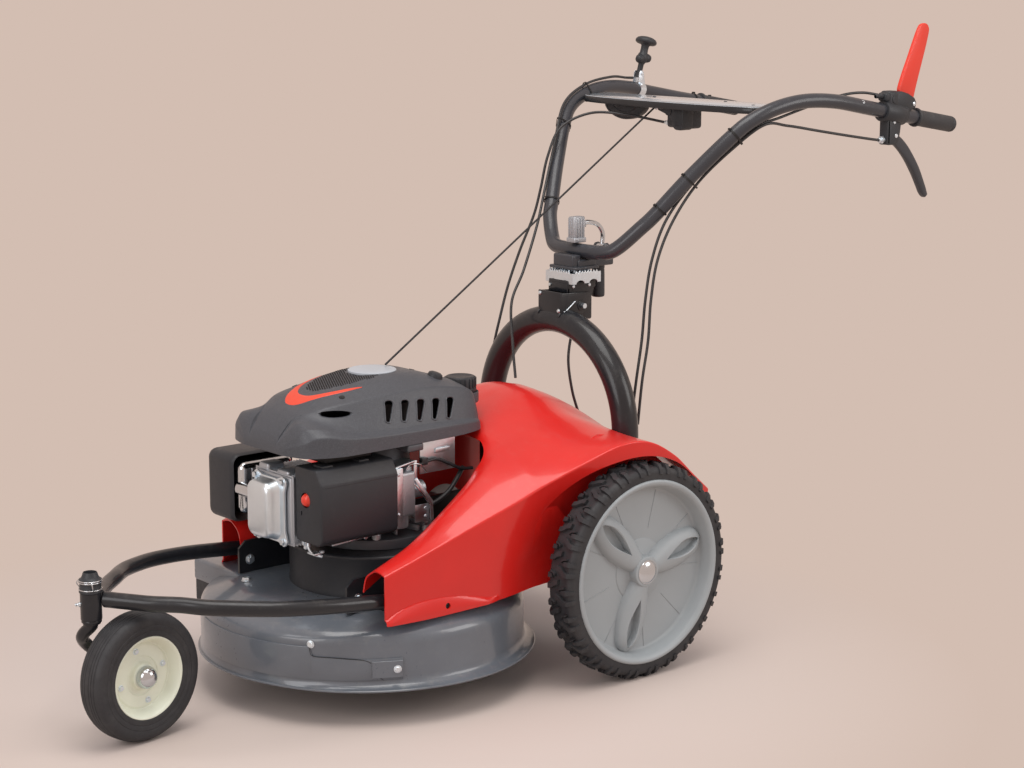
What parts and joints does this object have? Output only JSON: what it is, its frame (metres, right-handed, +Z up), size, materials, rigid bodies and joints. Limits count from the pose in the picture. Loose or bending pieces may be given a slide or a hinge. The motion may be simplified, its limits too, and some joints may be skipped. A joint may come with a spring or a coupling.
{
  "type": "walk-behind brush cutter",
  "caption": "Three-wheeled petrol brush cutter with a round blade deck, swivelling front caster, horseshoe cover, hoop-mounted tilting and swivelling handlebar with levers and cables",
  "frame": {"origin": "On the ground, under the centre of the bounding box; the rear axle is 53 mm behind it", "axes": "+Z up, +Y backwards to the operator, -Y forwards to the caster, +X to the machine's left"},
  "size_m": [0.7096, 1.8658, 1.169],
  "materials": {
    "red_cover": "glossy orange red",
    "deck_paint": "glossy mid grey enamel",
    "frame_paint": "gloss black enamel",
    "shroud_plastic": "grained charcoal",
    "engine_plastic": "satin black",
    "control_plastic": "satin black",
    "wheel_grey": "satin light grey",
    "starter_grey": "satin light grey",
    "cream_zinc": "cream enamel",
    "caster_cap": "satin black",
    "tyre": "moulded rubber",
    "grip_rubber": "matte",
    "zinc": "zinc plated",
    "cast_aluminium": "die cast",
    "steel": "bare",
    "cable_skin": "smooth sheath",
    "rope_black": "braided cord",
    "button_red": "glossy signal red",
    "dash_paint": "satin grey enamel"
  },
  "bodies": {
    "chassis": {"deck_shell": "deck_paint", "front_guard": "deck_paint", "chassis_frame": "frame_paint", "front_fork": "frame_paint", "arch_tube": "frame_paint", "arch_saddle": "frame_paint", "tilt_pin": "zinc", "red_cover": "red_cover", "gearbox": "cast_aluminium", "engine_riser": "engine_plastic", "engine_block": "cast_aluminium", "cylinder_head": "cast_aluminium", "valve_cover": "zinc", "muffler": "steel", "muffler_guard": "engine_plastic", "air_filter_base": "engine_plastic", "air_filter_cover": "engine_plastic", "carburettor": "cast_aluminium", "governor_plate": "zinc", "engine_shroud": "shroud_plastic", "starter_disc": "starter_grey", "throttle_cable": "cable_skin", "selector_cable": "cable_skin", "drive_cable": "cable_skin", "stop_cable": "cable_skin", "lock_cable": "cable_skin", "starter_rope": "rope_black"},
    "left_wheel": {"rear_rim_left": "wheel_grey", "rear_tyre_left": "tyre", "axle_shaft_left": "zinc"},
    "right_wheel": {"rear_rim_right": "wheel_grey", "rear_tyre_right": "tyre", "axle_shaft_right": "zinc"},
    "caster": {"caster_leg": "frame_paint", "caster_top_cap": "caster_cap", "caster_dome_nut": "zinc"},
    "caster_wheel": {"caster_rim": "cream_zinc", "caster_tyre": "tyre"},
    "crank": {"crankshaft": "steel", "flywheel": "cast_aluminium", "cutter_bar": "steel", "cutter_bolt": "zinc"},
    "tilt_bracket": {"tilt_bracket_plate": "frame_paint", "toothed_plate": "zinc"},
    "handlebar": {"handlebar_tube": "frame_paint", "handlebar_jaw": "frame_paint", "clamp_spring_case": "control_plastic", "grip_left": "grip_rubber", "grip_right": "grip_rubber", "dash_plate": "dash_paint", "lever_quadrant": "control_plastic", "throttle_case": "control_plastic", "lever_perch": "control_plastic", "selector_bracket": "zinc"},
    "clamp_lever": {"clamp_lever_grip": "zinc"},
    "stop_lever": {"stop_lever_red": "button_red"},
    "drive_lever": {"drive_lever_black": "control_plastic"},
    "selector_lever": {"selector_knob_lever": "control_plastic"},
    "primer_button": {"primer_bulb": "button_red"},
    "fuel_cap": {"fuel_filler_cap": "engine_plastic"}
  },
  "joints": [
    {"name": "left_wheel_spin", "type": "hinge", "parent": "chassis", "child": "left_wheel", "pos_m": [0.321, 0.053, 0.2], "axis": [1, 0, 0], "continuous": true},
    {"name": "right_wheel_spin", "type": "hinge", "parent": "chassis", "child": "right_wheel", "pos_m": [-0.321, 0.053, 0.2], "axis": [1, 0, 0], "continuous": true},
    {"name": "caster_swivel", "type": "hinge", "parent": "chassis", "child": "caster", "pos_m": [0, -0.8925, 0.24], "axis": [0, 0, 1], "continuous": true},
    {"name": "caster_wheel_spin", "type": "hinge", "parent": "caster", "child": "caster_wheel", "pos_m": [0.03018, -0.82175, 0.112], "axis": [0.9907, 0.1357, 0], "continuous": true},
    {"name": "crank_spin", "type": "hinge", "parent": "chassis", "child": "crank", "pos_m": [0, -0.307, 0.3], "axis": [0, 0, 1], "continuous": true},
    {"name": "handlebar_tilt", "type": "hinge", "parent": "chassis", "child": "tilt_bracket", "pos_m": [0, 0.171, 0.64], "axis": [1, 0, 0], "range_deg": [-10, 15], "deforming": ["throttle_cable", "selector_cable", "drive_cable", "stop_cable", "lock_cable", "starter_rope"]},
    {"name": "handlebar_swivel", "type": "hinge", "parent": "tilt_bracket", "child": "handlebar", "pos_m": [0, 0.183, 0.742], "axis": [0, 0, 1], "range_deg": [-25, 25], "deforming": ["throttle_cable", "selector_cable", "drive_cable", "stop_cable", "lock_cable", "starter_rope"]},
    {"name": "clamp_lever_hinge", "type": "hinge", "parent": "handlebar", "child": "clamp_lever", "pos_m": [0, 0.251, 0.744], "axis": [1, 0, 0], "range_deg": [-75, 0]},
    {"name": "stop_lever_hinge", "type": "hinge", "parent": "handlebar", "child": "stop_lever", "pos_m": [0.3, 0.797, 1.0125], "axis": [1, 0, 0], "range_deg": [-65, 0], "stiffness_Nm_per_rad": 0.3, "springref_deg": 28.65},
    {"name": "drive_lever_hinge", "type": "hinge", "parent": "handlebar", "child": "drive_lever", "pos_m": [0.3, 0.748, 0.945], "axis": [1, 0, 0], "range_deg": [0, 22], "stiffness_Nm_per_rad": 0.5, "springref_deg": -28.65},
    {"name": "selector_lever_hinge", "type": "hinge", "parent": "handlebar", "child": "selector_lever", "pos_m": [-0.2967, 0.628, 1.05165], "axis": [1, 0, 0], "range_deg": [-30, 0]},
    {"name": "primer_push", "type": "slide", "parent": "chassis", "child": "primer_button", "axis": [0, 1, 0], "range_m": [0, 0.006], "stiffness_N_per_m": 300, "springref_m": -0.002},
    {"name": "fuel_cap_turn", "type": "hinge", "parent": "chassis", "child": "fuel_cap", "pos_m": [0.042, -0.137, 0.52], "axis": [0, 0, 1], "range_deg": [0, 90]}
  ]
}
